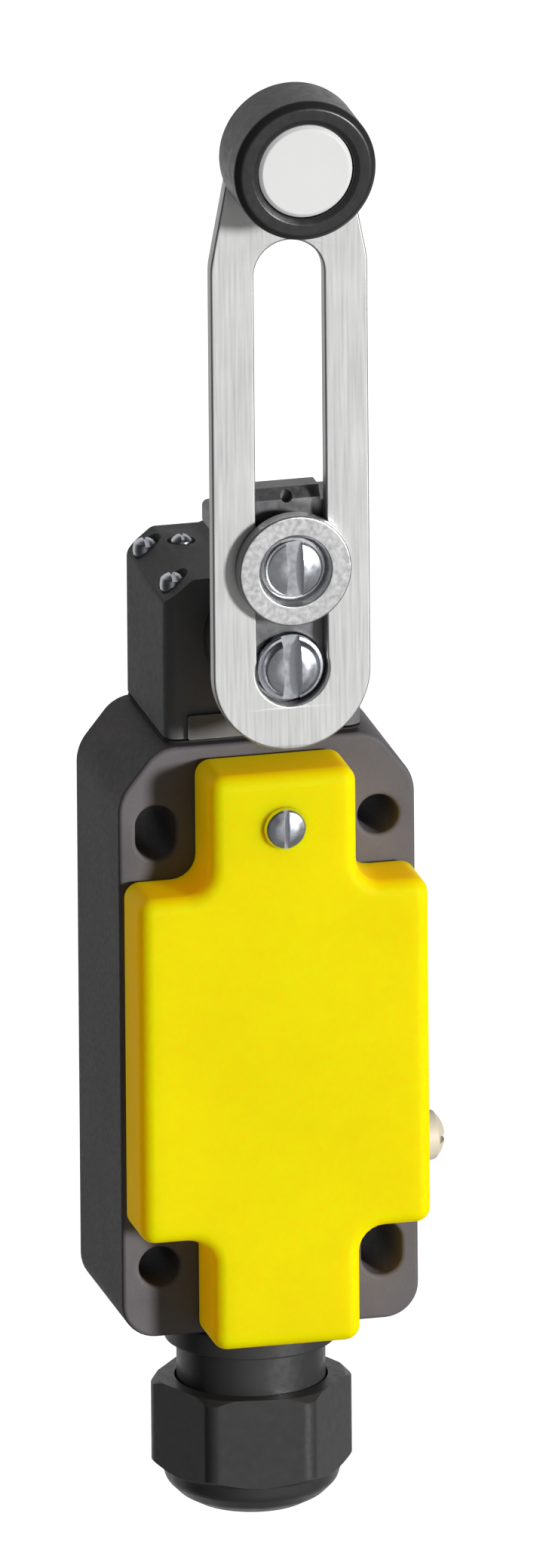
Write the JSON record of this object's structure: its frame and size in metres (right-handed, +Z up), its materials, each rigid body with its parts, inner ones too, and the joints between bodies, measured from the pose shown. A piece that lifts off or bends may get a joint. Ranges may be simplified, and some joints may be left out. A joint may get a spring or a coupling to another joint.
{
  "type": "limit switch",
  "caption": "Position switch with a swinging, length-adjustable roller lever, screwed-on yellow cover and a cable gland below.",
  "frame": {"origin": "centre of the 30 x 60 mm fixing hole pattern, on the flat back face", "axes": "+Y out of the back face into the wall, -Y towards the cover and the roller, +Z up along the body to the lever, +X to the right seen from the front"},
  "size_m": [0.0454, 0.05, 0.2042],
  "materials": {
    "housing_coat": "satin grey powder coat",
    "head_coat": "satin grey powder coat",
    "cover_yellow": "moulded, fine matt texture",
    "black_rubber": "matt",
    "black_plastic": "moulded, satin",
    "light_plastic": "moulded, satin",
    "cream_plastic": "moulded, matt",
    "steel": "zinc plated, satin",
    "zinc": "bright zinc plated",
    "dark_metal": "blackened, satin",
    "brass": "satin",
    "copper": "satin, with silver contacts"
  },
  "bodies": {
    "case": {"housing": "housing_coat", "head_housing": "head_coat", "head_gasket": "black_rubber", "head_screw_front_left": "zinc", "head_screw_front_right": "zinc", "head_screw_rear_left": "zinc", "head_screw_rear_right": "zinc", "spring_anchor_screw": "zinc", "shaft_bushing": "brass", "return_spring": "steel", "follower_spring": "steel", "contact_base": "black_plastic", "carrier_spring": "steel", "earth_washer": "brass", "earth_screw": "zinc", "gland_body": "black_plastic", "gland_ring": "black_rubber", "gland_nut": "black_plastic", "gland_seal": "black_rubber", "closed_terminal_left": "brass", "closed_terminal_screw_left": "zinc", "open_terminal_left": "brass", "open_terminal_screw_left": "zinc", "block_screw_left": "zinc", "closed_terminal_right": "brass", "closed_terminal_screw_right": "zinc", "open_terminal_right": "brass", "open_terminal_screw_right": "zinc", "block_screw_right": "zinc"},
    "cover": {"cover": "cover_yellow", "cover_seal": "black_rubber", "cover_screw": "zinc"},
    "actuator": {"shaft": "steel", "shaft_cam": "cream_plastic", "shaft_circlip": "steel", "lever_hub": "dark_metal", "shaft_end_screw": "zinc", "clamp_nut": "zinc", "clamp_washer": "steel", "clamp_screw": "zinc"},
    "lever": {"lever_plate": "steel", "roller_pin": "steel", "roller_spacer": "steel"},
    "roller": {"roller_tyre": "black_plastic", "roller_hub": "light_plastic"},
    "follower": {"follower": "cream_plastic"},
    "carrier": {"contact_carrier": "cream_plastic", "closed_contact_bridge": "copper", "open_contact_bridge": "copper"}
  },
  "joints": [
    {"name": "lever_swing", "type": "hinge", "parent": "case", "child": "actuator", "pos_m": [0, -0.03, 0.0561], "axis": [0, 1, 0], "range_deg": [-75, 75], "stiffness_Nm_per_rad": 0.15},
    {"name": "lever_length", "type": "slide", "parent": "actuator", "child": "lever", "axis": [0, 0, 1], "range_m": [-0.033, 0]},
    {"name": "roller_spin", "type": "hinge", "parent": "lever", "child": "roller", "pos_m": [0, -0.0451, 0.1282], "axis": [0, 1, 0], "continuous": true},
    {"name": "carrier_travel", "type": "slide", "parent": "case", "child": "carrier", "axis": [0, 0, -1], "range_m": [0, 0.003], "stiffness_N_per_m": 700, "springref_m": -0.002, "deforming": ["carrier_spring"]},
    {"name": "follower_travel", "type": "slide", "parent": "case", "child": "follower", "axis": [0, 0, -1], "range_m": [0, 0.003], "stiffness_N_per_m": 700, "springref_m": -0.002, "deforming": ["follower_spring"]},
    {"name": "cover_open", "type": "hinge", "parent": "case", "child": "cover", "pos_m": [0, -0.0248, -0.0393], "axis": [1, 0, 0], "range_deg": [0, 95]}
  ],
  "couplings": [
    {"joint": "follower_travel", "follows": "carrier_travel", "ratio": 1}
  ]
}
